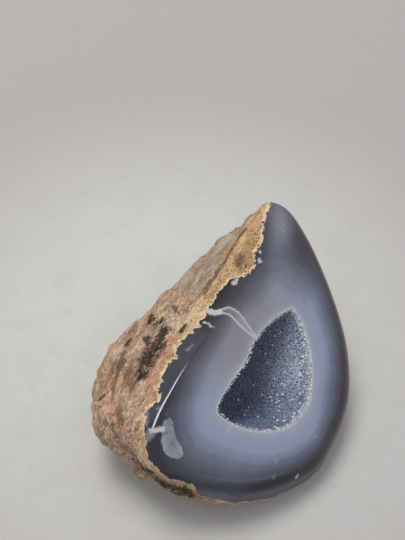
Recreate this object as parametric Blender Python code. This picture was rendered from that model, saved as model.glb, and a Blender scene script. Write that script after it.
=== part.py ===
"""An agate geode: one stone whose upper side is ground and polished to a low dome, with a natural
rind round the rest of it, and a hollow in the polished side that a crust of crystals lines.

The stone rests on a small flat spot at z = 0, with the polished side tilted to the front right.
Sizes are in millimetres and are scaled to metres where the meshes are made.
"""

import math
import random

import bmesh
import bpy
from mathutils import Euler, Matrix, Vector, geometry, noise

MM = 0.001

# The polished face has its own axes: u to the right, v towards the narrow tip, w out of the stone.
FACE_CENTRE = (12.4, -3.8, 31.0)
FACE_PITCH = 19.0
FACE_ROLL = 21.0

# Edge of the polished face, seen along w, from the narrow tip down the left side and round.
RIM_OUTLINE = (
    (-2.7, 54.9), (-6.6, 47.2), (-9.9, 42.6), (-13.5, 35), (-17.1, 25.2), (-20.5, 18.6),
    (-23.8, 10.2), (-26.7, 3.1), (-29.6, -3.1), (-31.5, -9.3), (-32.9, -18), (-33.8, -25.5),
    (-32.5, -31.1), (-30.3, -35.6), (-26.3, -39), (-19, -41.2), (-11.4, -42.2), (0, -41.5),
    (9.7, -38.9), (17.3, -35.2), (25.6, -28.5), (31, -19), (34.2, -9), (34.7, 0), (33.2, 10.1),
    (30.3, 19.2), (25.9, 28.9), (20.2, 39), (14, 48.2), (7.3, 55.3), (1.5, 57),
)
CROWN = 1.5

# The polish rolls over at its edge, deep on the right side and shallow on the left.
ROLLED_SIDE = -35.0
SHOULDER_WIDTH = (9.0, 15.0)
SHOULDER_DROP = (4.0, 8.0)
SHOULDER_ROUND = (1.5, 2.2)

# Widest outline of the stone seen from above. On the rolled side the rim itself is the widest.
BELLY_OUTLINE = (
    (30, -4), (30, 12), (27, 26), (22, 40), (13, 50), (4.5, 49), (-4.1, 42.5), (-12.3, 35.1),
    (-19.5, 26), (-26.6, 18.1), (-35.1, 10), (-41.7, -4.2), (-40.2, -15.1), (-36.2, -25.7),
    (-28.2, -33.7), (-20, -38.4), (-11, -39), (0, -41.6), (12, -39.3), (17, -37.2), (21.3, -35.2),
    (26.3, -32.4),
    (31, -28.4), (34, -24), (36.4, -19), (37, -12),
)
BELLY_PAST_RIM = 0.6
BELLY_HEIGHT = (0.45, 0.85)
BASE_CENTRE = (-2.0, 0.0)
BASE_RADII = (16.0, 19.0)

# The hollow: where its middle is on the face, its opening round that middle, depth and lean.
HOLLOW_CENTRE = (6.0, -6.0)
HOLLOW_OUTLINE = (
    (11.8, 1.5), (11.4, 6), (10.4, 11.5), (8.4, 17.2), (5.8, 22), (2.8, 24.3), (-0.4, 22.3),
    (-4.2, 18.7), (-7.4, 14.4), (-9.8, 10), (-10.9, 5.5), (-13.4, 0.9), (-16.3, -4.8), (-18.4, -9.6),
    (-18.6, -12.8), (-14.4, -15.3), (-8.4, -16.5), (-1.9, -15.9), (4.6, -13.6), (8.6, -9.6), (11.3, -4.5),
)
HOLLOW_DEPTH = 19.0
HOLLOW_LEAN = (-5.0, -1.0)
HOLLOW_FULLNESS = 0.8

# Relief of the rind: its height, and the size of one lump, crease or grain.
LUMPS = (2.0, 13.0)
CREASES = (4.5, 9.0)
GRAIN = (0.8, 5.0)
# Where the wall is lower than this, its relief shrinks with it.
FULL_RELIEF_HEIGHT = 20.0

# Dents in the rind: where they are, how wide and how deep. One is a swelling, with a depth below 0.
DENTS = (
    ((10.8, 46.8, 40.5), 4.3, -2.4),
    ((5, 43.4, 39.2), 2.8, 2.6),
    ((-4.5, 38.5, 34), 5.0, 1.6),
    ((-30.5, 13, 26), 5.0, 1.6),
    ((-22, -6, 36), 5.0, 1.2),
    ((-22.7, 6.7, 36), 3.5, 1.2),
    ((-29, 0, 34), 3.0, 1.2),
    ((-35, -14, 30), 3.5, 1.0),
    ((-27, -32, 23), 3.5, 1.6),
    ((-23, -35, 18), 3.5, 1.6),
    ((-18, -39, 20), 3.0, 1.2),
)

# Crust of crystals.
CRUST_GAP = 0.35
CRUST_WALL = 1.3
CRUST_EDGE_POINTS = 60
CRUST_INNER_POINTS = 420
CRYSTAL_HEIGHT = (0.35, 0.9)

SEGMENTS = 84
HOLLOW_RINGS = 8
FACE_RINGS = 9
WALL_RINGS = 14
BASE_RINGS = 3


def catmull_rom(a, b, c, d, t):
    """The point a share t of the way from b to c, on the smooth curve through all four."""
    line = 2 * b + (c - a) * t
    bend = (2 * a - 5 * b + 4 * c - d) * t**2 + (3 * b - a - 3 * c + d) * t**3
    return 0.5 * (line + bend)


def smooth_outline(points, steps=24):
    """The closed smooth curve through a few outline points, as many short steps."""
    knots = [Vector(point) for point in points]
    count = len(knots)
    curve = []
    for k in range(count):
        around = [knots[(k + offset) % count] for offset in (-1, 0, 1, 2)]
        curve += [catmull_rom(*around, step / steps) for step in range(steps)]
    return curve


def evenly_spaced(line, count):
    """This many points, an equal distance apart, from the first point of a line to its last."""
    lengths = [0.0]
    for here, there in zip(line, line[1:]):
        lengths.append(lengths[-1] + (there - here).length)
    spaced = []
    step = 0
    for k in range(count):
        wanted = lengths[-1] * k / (count - 1)
        while step < len(line) - 2 and lengths[step + 1] < wanted:
            step += 1
        share = (wanted - lengths[step]) / (lengths[step + 1] - lengths[step])
        spaced.append(line[step].lerp(line[step + 1], min(1.0, share)))
    return spaced


def reach(outline, way):
    """How far a closed outline lies from its origin in this direction."""
    for here, there in zip(outline, outline[1:] + outline[:1]):
        before, after = way.cross(here), way.cross(there)
        if before <= 0 < after and way.dot(here) > 0:
            return way.dot(here.lerp(there, before / (before - after)))
    raise ValueError("the outline has a gap")


def direction(point):
    return Vector(point[:2]).normalized()


FACE_TURN = Euler((math.radians(FACE_PITCH), math.radians(FACE_ROLL), 0), "XYZ").to_matrix()


def from_face(u, v, w):
    """A point given on the face's own axes, in the stone's frame."""
    return Vector(FACE_CENTRE) + FACE_TURN @ Vector((u, v, w))


def rolled_share(way):
    """0 on the side where the polish ends shallow, rising to 1 on the side where it rolls over."""
    turn = math.atan2(way.y, way.x) - math.radians(ROLLED_SIDE)
    return 0.5 + 0.5 * math.cos(turn)


def between(pair, share):
    return pair[0] + (pair[1] - pair[0]) * share


def face_height(inset, way):
    """How far the polish lies under its own middle, at this distance in from its edge."""
    share = rolled_share(way)
    x = min(1.0, inset / between(SHOULDER_WIDTH, share))
    power = between(SHOULDER_ROUND, share)
    rise = (1 - (1 - x) ** power) ** (1 / power)
    return between(SHOULDER_DROP, share) * (rise - 1)


def polish_height(spot):
    """Height of the polished face over its own middle plane, at a place given by u and v."""
    way = direction(spot - HOLLOW_MIDDLE)
    rim = HOLLOW_MIDDLE + way * reach(RIM_ROUND_HOLLOW, way)
    height = face_height((rim - spot).length, direction(rim))
    return height - CROWN * (spot.length / FACE_REACH) ** 2


def hollow_point(edge, opening_height, turn, inset=0.0):
    """A point on the hollow's wall, under the point of its opening that edge leads to.

    The turn runs from 0 at the opening to 90 degrees at the bottom.
    """
    across = edge * (1 - inset / edge.length) * math.cos(turn) ** HOLLOW_FULLNESS
    spot = HOLLOW_MIDDLE + across + Vector(HOLLOW_LEAN) * math.sin(turn)
    return from_face(spot.x, spot.y, opening_height - (HOLLOW_DEPTH - inset) * math.sin(turn))


def hollow_bottom(inset=0.0):
    opening = polish_height(HOLLOW_MIDDLE + Vector((0.01, 0)))
    return hollow_point(HOLLOW_EDGE[0], opening, math.pi / 2, inset)


def spread_turns(turns, passes=4, reach_out=5):
    """The same rising turns, with the close ones drawn apart by averaging them with their neighbours."""
    count = len(turns)
    for _ in range(passes):
        smoothed = []
        for k in range(count):
            total = 0.0
            for step in range(k - reach_out, k + reach_out + 1):
                total += turns[step % count] + 2 * math.pi * (step // count)
            smoothed.append(total / (2 * reach_out + 1))
        turns = smoothed
    return turns


def wall_ways(rims):
    """For each rim point, the way out from the stone's middle in which its wall leads down."""
    turns = []
    for rim in rims:
        top = from_face(*rim, polish_height(rim))
        turn = math.atan2(top.y, top.x)
        while turns and turn < turns[-1]:
            turn += 2 * math.pi
        turns.append(turn)
    return [Vector((math.cos(turn), math.sin(turn))) for turn in spread_turns(turns)]


def wall_line(rim, way, rim_line):
    """The nodule's side, from its rim out to the belly and in again to the edge of the flat spot."""
    top = from_face(*rim, polish_height(rim))
    belly = way * max(reach(BELLY_EDGE, way), reach(rim_line, way) + BELLY_PAST_RIM)
    belly_height = between(BELLY_HEIGHT, rolled_share(way)) * top.z
    turn = math.atan2(way.y * BASE_RADII[0], way.x * BASE_RADII[1])
    foot = Vector(BASE_CENTRE) + Vector((BASE_RADII[0] * math.cos(turn), BASE_RADII[1] * math.sin(turn)))
    line = []
    for step in range(41):
        turn = math.pi * step / 40
        start, start_height = (top.xy, top.z) if turn < math.pi / 2 else (foot, 0.0)
        plan = start.lerp(belly, math.sin(turn))
        height = belly_height + (start_height - belly_height) * abs(math.cos(turn))
        line.append(Vector((plan.x, plan.y, height)))
    return evenly_spaced(line, WALL_RINGS + 1)


def dent_depth(point):
    """How far the named dents draw the rind in at this point."""
    return sum(depth * math.exp(-((point - Vector(spot)).length / size) ** 2) for spot, size, depth in DENTS)


def rind_relief(point):
    """How far the rind stands out from the smooth nodule at this point."""
    lumps = LUMPS[0] * noise.noise(point / LUMPS[1])
    creases = CREASES[0] * min(0.0, abs(noise.noise(point / CREASES[1] + Vector((3, 8, 1)))) - 0.2)
    grain = GRAIN[0] * noise.noise(point / GRAIN[1] + Vector((7, 3, 5)))
    return lumps + creases + grain - dent_depth(point)


def new_mesh_object(name, bm, collection, materials):
    """A named object in metres, from a mesh that was made in millimetres."""
    bmesh.ops.scale(bm, vec=(MM, MM, MM), verts=bm.verts)
    mesh = bpy.data.meshes.new(name)
    bm.to_mesh(mesh)
    bm.free()
    for material in materials:
        mesh.materials.append(material)
    made = bpy.data.objects.new(name, mesh)
    collection.objects.link(made)
    return made


def loft(rings, first_tip, last_tip):
    """One closed skin through a stack of rings, drawn to a point at either end."""
    bm = bmesh.new()
    rows = [[bm.verts.new(point) for point in ring] for ring in rings]
    first, last = bm.verts.new(first_tip), bm.verts.new(last_tip)
    bands = []
    for upper, lower in zip(rows, rows[1:]):
        band = []
        for k in range(len(upper)):
            j = (k + 1) % len(upper)
            band.append(bm.faces.new((upper[k], upper[j], lower[j], lower[k])))
        bands.append(band)
    for k in range(len(rows[0])):
        j = (k + 1) % len(rows[0])
        bm.faces.new((first, rows[0][j], rows[0][k]))
        bm.faces.new((last, rows[-1][k], rows[-1][j]))
    bmesh.ops.recalc_face_normals(bm, faces=bm.faces)
    return bm, rows, bands


def make_material(name, colour, roughness):
    material = bpy.data.materials.new(name)
    material.use_nodes = True
    shader = material.node_tree.nodes["Principled BSDF"]
    shader.inputs["Base Color"].default_value = (*colour, 1)
    shader.inputs["Roughness"].default_value = roughness
    shader.inputs["Metallic"].default_value = 0
    return material


def make_stone(collection):
    """The whole nodule as one solid: hollow, polished face, rough side and flat spot."""
    rims = evenly_spaced(RIM_CURVE + RIM_CURVE[:1], SEGMENTS + 1)[:-1]
    edges = []
    for rim in rims:
        way = direction(rim - HOLLOW_MIDDLE)
        edges.append(way * reach(HOLLOW_EDGE, way))
    openings = [polish_height(HOLLOW_MIDDLE + edge) for edge in edges]
    hollow = []
    for ring in range(HOLLOW_RINGS - 1, 0, -1):
        turn = math.radians(90 * ring / HOLLOW_RINGS)
        hollow.append([hollow_point(edge, opening, turn) for edge, opening in zip(edges, openings)])
    face = []
    for ring in range(FACE_RINGS):
        share = 1 - (1 - ring / FACE_RINGS) ** 1.4
        spots = [(HOLLOW_MIDDLE + edge).lerp(rim, share) for edge, rim in zip(edges, rims)]
        face.append([from_face(*spot, polish_height(spot)) for spot in spots])
    rim_line = [point.xy for point in (from_face(*rim, polish_height(rim)) for rim in RIM_CURVE[::4])]
    walls = [wall_line(rim, way, rim_line) for rim, way in zip(rims, wall_ways(rims))]
    wall = [[line[ring] for line in walls] for ring in range(WALL_RINGS + 1)]
    foot = Vector((*BASE_CENTRE, 0))
    base = [[foot.lerp(point, 1 - ring / BASE_RINGS) for point in wall[-1]] for ring in range(1, BASE_RINGS)]
    bm, rows, bands = loft(hollow + face + wall + base, hollow_bottom(), foot)

    bm.normal_update()
    rim_row = len(hollow) + len(face)
    heights = [line[0].z for line in walls]
    for ring, row in enumerate(rows[rim_row : rim_row + WALL_RINGS]):
        share = min(1.0, 0.15 + ring / 3)
        for vert, height in zip(row, heights):
            vert.co += vert.normal * rind_relief(vert.co) * share * min(1.0, height / FULL_RELIEF_HEIGHT)
            vert.co.z = max(vert.co.z, 0.0)
    for facet in bm.faces:
        facet.material_index = 1
    for band in bands[:rim_row]:
        for facet in band:
            facet.material_index = 0
            facet.smooth = True
    materials = [
        make_material("polished_agate", (0.20, 0.22, 0.29), 0.12),
        make_material("rind", (0.42, 0.28, 0.19), 0.85),
    ]
    return new_mesh_object("stone", bm, collection, materials)


def crust_cells(random_place):
    """Irregular three-sided cells of one size that fill a round disc, with the edge points first."""
    points = []
    for k in range(CRUST_EDGE_POINTS):
        turn = 2 * math.pi * k / CRUST_EDGE_POINTS
        points.append(Vector((math.cos(turn), math.sin(turn))))
    for k in range(CRUST_INNER_POINTS):
        out = 0.955 * math.sqrt((k + 0.5) / CRUST_INNER_POINTS) + random_place.uniform(-0.01, 0.01)
        turn = 2.39996 * k + random_place.uniform(-0.02, 0.02)
        points.append(out * Vector((math.cos(turn), math.sin(turn))))
    placed, _, cells, _, _, _ = geometry.delaunay_2d_cdt(points, [], [], 0, 1e-6)
    return placed, cells


def make_crust(collection):
    """The crust of crystals: a thin shell in the hollow, its inner side all flat-faced points."""
    random_place = random.Random(4)
    placed, cells = crust_cells(random_place)
    edge_line = evenly_spaced(HOLLOW_EDGE + HOLLOW_EDGE[:1], 361)
    bm = bmesh.new()
    sheets = []
    for inset in (CRUST_GAP, CRUST_GAP + CRUST_WALL):
        sheet = []
        for point in placed:
            share = math.atan2(point.y, point.x) / (2 * math.pi) % 1.0
            step = min(359, int(share * 360))
            edge = edge_line[step].lerp(edge_line[step + 1], share * 360 - step)
            turn = math.pi / 2 * (1 - min(1.0, point.length))
            sheet.append(bm.verts.new(hollow_point(edge, polish_height(HOLLOW_MIDDLE + edge), turn, inset)))
        sheets.append(sheet)
    outer, inner = sheets
    open_cells = []
    for cell in cells:
        bm.faces.new([outer[k] for k in cell])
        open_cells.append(bm.faces.new([inner[k] for k in reversed(cell)]))
    for k in range(CRUST_EDGE_POINTS):
        j = (k + 1) % CRUST_EDGE_POINTS
        bm.faces.new((outer[k], outer[j], inner[j], inner[k]))
    bmesh.ops.recalc_face_normals(bm, faces=bm.faces)
    for cell in open_cells:
        height = random_place.uniform(*CRYSTAL_HEIGHT)
        normal = cell.normal.copy()
        point = bmesh.ops.poke(bm, faces=[cell])["verts"][0]
        point.co += normal * height
    return new_mesh_object("crystal_crust", bm, collection, [make_material("druse", (0.23, 0.25, 0.31), 0.25)])


HOLLOW_MIDDLE = Vector(HOLLOW_CENTRE)
HOLLOW_EDGE = smooth_outline(HOLLOW_OUTLINE)
BELLY_EDGE = smooth_outline(BELLY_OUTLINE)
RIM_CURVE = smooth_outline(RIM_OUTLINE)
RIM_ROUND_HOLLOW = [point - HOLLOW_MIDDLE for point in RIM_CURVE]
FACE_REACH = max(point.length for point in RIM_CURVE)


def main():
    for old in list(bpy.data.objects):
        bpy.data.objects.remove(old)
    collection = bpy.data.collections.new("agate_geode")
    bpy.context.scene.collection.children.link(collection)
    stone = make_stone(collection)
    crust = make_crust(collection)
    corners = [Vector(corner) for corner in stone.bound_box]
    middle = (corners[0] + corners[6]) / 2
    for made in (stone, crust):
        made.data.transform(Matrix.Translation((-middle.x, -middle.y, 0)))


main()
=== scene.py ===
import math
import random

import bpy
import numpy as np
from mathutils import Euler, Matrix, Vector, noise


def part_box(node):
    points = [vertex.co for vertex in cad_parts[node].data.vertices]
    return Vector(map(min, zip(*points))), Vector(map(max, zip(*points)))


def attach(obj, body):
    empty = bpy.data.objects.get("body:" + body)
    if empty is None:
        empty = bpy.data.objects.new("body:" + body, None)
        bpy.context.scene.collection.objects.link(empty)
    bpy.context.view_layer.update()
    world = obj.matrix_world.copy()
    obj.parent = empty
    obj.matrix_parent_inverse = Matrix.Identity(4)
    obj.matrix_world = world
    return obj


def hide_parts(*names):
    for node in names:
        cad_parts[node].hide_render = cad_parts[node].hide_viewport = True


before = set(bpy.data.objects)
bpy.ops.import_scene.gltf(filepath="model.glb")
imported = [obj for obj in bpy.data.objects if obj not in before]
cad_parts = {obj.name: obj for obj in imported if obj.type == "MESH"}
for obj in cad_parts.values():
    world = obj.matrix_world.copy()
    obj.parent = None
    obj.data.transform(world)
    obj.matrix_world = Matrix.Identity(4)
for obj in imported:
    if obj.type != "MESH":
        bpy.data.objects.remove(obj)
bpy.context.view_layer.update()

# An agate geode. Sizes are in millimetres, and meshes become metres in makePiece.
mm = 0.001

# The polished face has its own axes: u to the right, v towards the narrow tip, w out of the stone.
face = {
    "centre": (12.4, -3.8, 31.0),
    "pitch": 19.0,
    "roll": 21.0,
    "rim": [
        (-2.7, 54.9), (-6.6, 47.2), (-9.9, 42.6), (-13.5, 35), (-17.1, 25.2), (-20.5, 18.6),
        (-23.8, 10.2), (-26.7, 3.1), (-29.6, -3.1), (-31.5, -9.3), (-32.9, -18), (-33.8, -25.5),
        (-32.5, -31.1), (-30.3, -35.6), (-26.3, -39), (-19, -41.2), (-11.4, -42.2), (0, -41.5),
        (9.7, -38.9), (17.3, -35.2), (25.6, -28.5), (31, -19), (34.2, -9), (34.7, 0), (33.2, 10.1),
        (30.3, 19.2), (25.9, 28.9), (20.2, 39), (14, 48.2), (7.3, 55.3), (1.5, 57),
    ],
    "crown": 1.5,
    "rolledSide": -35.0,  # the side where the polish rolls over deepest
    "shoulderWidth": (9.0, 15.0),
    "shoulderDrop": (4.0, 8.0),
    "shoulderRound": (1.5, 2.2),
    "rings": 56,
    "ringPower": 1.4,  # rings lie closer together towards the rim
}

hollow = {
    "middle": (6.0, -6.0),
    "opening": [
        (11.8, 1.5), (11.4, 6), (10.4, 11.5), (8.4, 17.2), (5.8, 22), (2.8, 24.3), (-0.4, 22.3),
        (-4.2, 18.7), (-7.4, 14.4), (-9.8, 10), (-10.9, 5.5), (-13.4, 0.9), (-16.3, -4.8),
        (-18.4, -9.6), (-18.6, -12.8), (-14.4, -15.3), (-8.4, -16.5), (-1.9, -15.9), (4.6, -13.6),
        (8.6, -9.6), (11.3, -4.5),
    ],
    "depth": 19.0,
    "lean": (-5.0, -1.0),
    "fullness": 0.8,
    "rings": 10,
}

wall = {
    "belly": [
        (30, -4), (30, 12), (27, 26), (22, 40), (13, 50), (4.5, 49), (-4.1, 42.5), (-12.3, 35.1),
        (-19.5, 26), (-26.6, 18.1), (-35.1, 10), (-41.7, -4.2), (-40.2, -15.1), (-36.2, -25.7),
        (-28.2, -33.7), (-20, -38.4), (-11, -39), (0, -41.6), (12, -39.3), (17, -37.2),
        (21.3, -35.2), (26.3, -32.4), (31, -28.4), (34, -24), (36.4, -19), (37, -12),
    ],
    "bellyPastRim": 0.6,
    "bellyHeight": (0.45, 0.85),
    "footCentre": (-2.0, 0.0),
    "footRadii": (16.0, 19.0),
    "lumps": (2.0, 13.0),
    "creases": (4.5, 9.0),
    "grain": (0.8, 5.0),
    "fullReliefHeight": 20.0,
    "dents": [
        ((10.8, 46.8, 40.5), 4.3, -2.4), ((5, 43.4, 39.2), 2.8, 2.6), ((-22, -6, 36), 5.0, 1.2),
        ((-4.5, 38.5, 34), 5.0, 1.6), ((-30.5, 13, 26), 5.0, 1.6), ((-22.7, 6.7, 36), 3.5, 1.2),
        ((-29, 0, 34), 3.0, 1.2), ((-35, -14, 30), 3.5, 1.0), ((-27, -32, 23), 3.5, 1.6),
        ((-23, -35, 18), 3.5, 1.6), ((-18, -39, 20), 3.0, 1.2),
    ],
    "rings": 96,
    "baseRings": 4,
    "columns": 504,
    "steps": 121,  # points on each line down the side, before they are spaced evenly
    # The polish starts to roll over this many rows inside its edge, in front and at the right only.
    "roll": {"rows": 20, "fullness": 1.35, "below": (-42, -22)},
    "averaged": 33,  # ways down the wall are averaged with this many on either side
    "averagings": 4,
    "fadeParts": 14.0,  # relief grows over the first three of these parts and fades over the last
}

# Fine relief of the rind: height and size of each kind, and where its stains are.
rind = {
    "ledges": (0.6, 2.6, 10.0),  # height, size across and size along
    "ledgeWay": (0.44, 0.88, 0.16),
    "nubs": (0.28, 2.1),
    "grit": (0.16, 0.95),
    "pits": (1.3, 1.9),
    "smoothSkin": [
        (-8.1, 43.9), (-10, 47), (-20, 40), (-27, 33), (-31, 27), (-29, 22), (-26.5, 18.6),
        (-24.3, 18.4), (-22, 16.8), (-19.4, 19.4), (-17.3, 24.5), (-14.7, 29.9), (-11.6, 36.6),
        (-9.2, 41.9),
    ],
    "manganese": [
        ([
            (-17.8, 3.0, 36.8), (-19.6, -0.3, 36.2), (-21, -3.9, 35.6), (-23.1, -7.1, 34.4),
            (-25, -11.2, 33.7),
        ], 2.0),
        ([(-20.2, -1.8, 36.2), (-21.9, -4.8, 35.3), (-23.4, -7, 34.3)], 2.4),
        ([(-22.5, 9.6, 34.9), (-23.8, 7, 33.7)], 1.3),
        ([(-18.6, 7.2, 36.7), (-20.5, 6, 35.7), (-21.7, 5, 34.8)], 1.1),
        ([(-23.4, 1, 35.3), (-22.6, -2, 36)], 1.2),
        ([
            (-28.4, -29.6, 22.5), (-27.3, -31, 20.7), (-25.4, -33.1, 19.7), (-22.8, -36.1, 21.5),
            (-20.3, -36.9, 17.6),
        ], 2.4),
        ([
            (-18.7, -38, 18.6), (-16.7, -39.1, 16.9), (-14.3, -39.9, 18.2), (-11.3, -40.5, 18),
            (-9.6, -40.7, 14.8),
        ], 2.3),
        ([(-15.6, -39.1, 13.1), (-12.9, -40.2, 13.6)], 1.7),
        ([(-9, -41.1, 14.9), (-6, -41, 13.3), (-3.4, -41.2, 13)], 0.8),
        ([(-28.3, 2.8, 33.8), (-29.1, 1.2, 33.3), (-29.7, -0.7, 32.8)], 0.7),
        ([(-31.9, -11.8, 30.6), (-34.1, -13, 28.9), (-35.6, -14.6, 28.1), (-37.9, -15.5, 26.1)], 0.7),
        ([(-11.3, 3.7, 38.4), (-12.8, 1.9, 37.8)], 0.9),
    ],
    "brown": [
        ([(6.3, 27.2, 43), (5.5, 24.5, 42.8)], 2.3),
        ([(-15.8, 11.3, 37.9), (-13.6, 8.2, 37.9)], 0.9),
        ([(7.3, 38.3, 42.7), (1.1, 26.5, 41.3), (-2.2, 21.2, 40.7), (-7.6, 13.7, 39.5)], 0.9),
        ([(-18.3, -2.5, 36.3), (-20, -5.6, 35.5), (-22.1, -9, 34.6), (-23.2, -11.1, 34.1)], 1.8),
        ([(-24.4, -11.9, 33.7), (-26.2, -13.3, 33.1), (-27.1, -14.1, 32.7)], 1.3),
        ([(-30.2, -2.6, 32.9), (-31.3, -5.3, 32.6), (-32.2, -6.8, 31.6)], 1.0),
        ([(-30.9, -6.1, 32.8), (-32.1, -9.2, 30.9)], 2.0),
        ([(-33.1, -24.1, 27.1), (-31.7, -26.7, 24.4), (-32.1, -27.6, 22.9)], 0.9),
        ([(-18.7, -38, 16.6), (-12.3, -40.5, 16), (-9.6, -40.7, 15)], 2.4),
    ],
    "pink": [
        ([(-14.7, 0.7, 37.4), (-16.7, -2.4, 36.6), (-18.5, -5.2, 35.9)], 2.6),
        ([(-19.9, -8.9, 35.1), (-21, -12.6, 34.3), (-21.8, -16.6, 32.9), (-22.6, -20.4, 32)], 2.4),
        ([(-28.7, -12.7, 32), (-32.7, -14.7, 29.5), (-35.8, -16.9, 27.4), (-33.2, -21.2, 29)], 5.0),
        ([(-13, 12, 38.6), (-11.4, 14.8, 38.5)], 2.5),
        ([(9, 41, 42.5), (12, 40, 43.5)], 2.5),
    ],
    "yellow": [
        ([(-10.1, 4.6, 38.8), (-7.9, 7.5, 39.5), (-6, 10.8, 40.2)], 4.0),
        ([(-16.5, 13.1, 37.1), (-18.1, 10.9, 36.4), (-19.6, 7.9, 36.3)], 3.6),
    ],
    "lowerPart": (24.0, 33.0),  # towards the front the ground band is tan
    "groundRows": 30,  # rows of the face where the rind is ground flat with the agate
    "cutPits": (0.45, 1.5),  # depth and size of the pits in that band
    "groove": 0.7,  # how deep that band lies under the lip of the skin
}

# Where the agate ends on the face. On the right and in front it reaches a little down the side.
agate = {
    "edge": [
        (-0.6, 54.6), (-2.1, 50.1), (-2.9, 45), (-3.3, 39.6), (-3.9, 37.3), (-5.6, 34.5), (-5.1, 30.6),
        (-6.8, 27), (-9.4, 25), (-12.5, 23.8), (-14.4, 21.5), (-15.8, 18.4), (-17.7, 14.7), (-19.1, 12.5),
        (-19.7, 10.1), (-21.2, 7.2), (-20.4, 6.4), (-23.1, 3.7), (-25.7, 0.4), (-27.2, -2), (-25.5, -3.9),
        (-28.1, -5.7), (-29.2, -8), (-30.3, -10.6), (-29.6, -13), (-31, -14.5), (-29.6, -16.4),
        (-30.1, -18.2), (-32, -19.8), (-32.8, -21.4), (-33, -24.1), (-32.8, -26.9), (-31.8, -29.7),
        (-31.2, -32.4), (-30.2, -34.5), (-28, -36.5), (-25.5, -38.3), (-22.6, -39.3), (-19.7, -39.5),
        (-16.6, -40), (-14.7, -41.3), (-12.2, -43.4), (-6, -44.4), (0, -43.8), (10, -41.3), (18.5, -37.8),
        (28, -32), (35, -21), (38.5, -10), (39, 0), (37.5, 11), (34, 21), (29, 31.5), (22.5, 41.5),
        (15.5, 50.5), (8, 57), (1.5, 59),
    ],
    "teeth": (0.5, 1.6),
    # Way round the hollow in degrees, and the shares of the way out where milky ends and dark begins.
    "milkyZone": [
        (-180, 0.60, 0.86), (-150, 0.60, 0.90), (-115, 0.62, 1.04), (-90, 0.64, 0.93), (-45, 0.64, 0.90),
        (0, 0.51, 0.86), (45, 0.60, 0.90), (70, 0.62, 0.94), (88, 0.46, 0.88), (110, 0.48, 0.84),
        (135, 0.62, 0.86),
    ],
    "frontLines": ((-3.4, 0.5, 0.06), (-5.0, 0.4, -0.12)),  # bands along the front: place, width, darker by
    "tipSheen": ((2.6, 48.0), (5.2, 11.0)),  # painted sheen near the tip, lighter and greyer: middle and size
    "tipSheenStrength": 0.72,
    "greyWay": 138.0,  # the milky zone is greyer on this side
    "crease": [
        (-17.4, 5.7), (-20.3, 0.4), (-23.1, -4.8), (-25.5, -9.8), (-27.5, -14.9), (-29.2, -19.3),
        (-30.2, -22.4), (-31, -26),
    ],
    "upperVein": [
        (-16, 12.1), (-13.7, 13.6), (-12.1, 14), (-8.9, 12.7), (-6.2, 10), (-3.9, 7.5), (-2.4, 6.2),
    ],
    "lowerVein": [(-16, 11.8), (-13.9, 11.9), (-11.8, 11.4), (-8.5, 9.1), (-4.9, 7), (-2.4, 5.9)],
    "blade": [
        (-28.6, -23.9), (-26.8, -22.8), (-25.8, -23.9), (-25.2, -26.1), (-23.9, -28.7), (-22.1, -30.7),
        (-21.4, -32.6), (-22.4, -33.9), (-24.9, -33.9), (-26.9, -32.5), (-28.1, -30.1), (-28.4, -27.1),
    ],
    "paleMarks": [
        ([(-19.3, 12), (-17.2, 11.5), (-15.5, 12)], 0.95), ([(-31.3, -27), (-28.3, -26.3)], 0.7),
        ([(-4, 35.1), (-4, 35.2)], 0.45), ([(-3.8, 32), (-3.9, 32.2)], 0.75),
        ([(-11.9, 22.6), (-11.6, 22.6)], 0.65), ([(-11.3, 23.6), (-11.2, 23.8)], 0.5),
        ([(-19.9, 8), (-18.7, 7.5), (-17.2, 6.7)], 0.3), ([(16.5, -33.3), (16.6, -32.8)], 0.4),
    ],
    "faintMarks": [
        ([(-24.2, -1.8), (-22.6, 0.1)], 0.3), ([(-31.9, -29.1), (-31.4, -28.2)], 1.1),
        ([(-33, -22), (-32.9, -25.5)], 0.5), ([(-29.6, -20.5), (-30.6, -20.4)], 0.4),
        ([(-7.4, -21), (-8.9, -24)], 0.35), ([(8.3, -34.5), (8.4, -34.3)], 0.35),
        ([(8, -29.9), (8, -30.6)], 0.3), ([(20.9, -21), (20.7, -20.6)], 0.3), ([(4, 44.9), (4.1, 44.8)], 0.3),
    ],
}

crust = {
    "lipWidth": (0.30, 0.2),  # mean and how much it varies
    "lipUnder": 0.03,
    "wall": 1.4,
    "columns": 252,
    "outerRings": 10,
    "innerRings": 26,
    "crystals": 7350,
    "tries": 8,  # places tried for each of them
    "spacing": 0.35,
    "sides": 6,
    "root": 0.35,  # how far a crystal reaches into the lining
    "radius": (0.17, 0.38),
    "length": (0.24, 0.66),
    "tilt": 0.27,
    "rimCrystals": 620,
    "rimWhite": 0.3,
    "rimInset": (0.1, 1.0),
    "rimUnder": 0.32,
    "tones": (0.45, 0.80),  # from the left wall to the right: painted shade on the left, painted light on the right
    "toneSpread": 0.05,
    "upperPaintedLight": 0.16,  # painted light: the upper right wall is paler still
    # Share of crystals painted white as painted glints, more of them on the right wall, and their size.
    "sparkles": 0.0085,
    "sparkleSize": 0.36,
    "seed": 11,
}


def smoothOutline(points, steps=24):
    knots = np.array(points, float)
    before, after, further = (np.roll(knots, shift, axis=0) for shift in (1, -1, -2))
    pieces = []
    for t in np.arange(steps) / steps:
        line = 2 * knots + (after - before) * t
        bend = (2 * before - 5 * knots + 4 * after - further) * t**2
        bend = bend + (3 * knots - before - 3 * after + further) * t**3
        pieces.append(0.5 * (line + bend))
    return np.stack(pieces, axis=1).reshape(-1, 2)


def between(pair, share):
    return pair[0] + (pair[1] - pair[0]) * share


def ease(value, low, high):
    share = np.clip((value - low) / (high - low), 0, 1)
    return share * share * (3 - 2 * share)


def turnOf(spots):
    return np.arctan2(spots[..., 1], spots[..., 0])


def wayOf(turns):
    return np.stack([np.cos(turns), np.sin(turns)], axis=-1)


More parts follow.
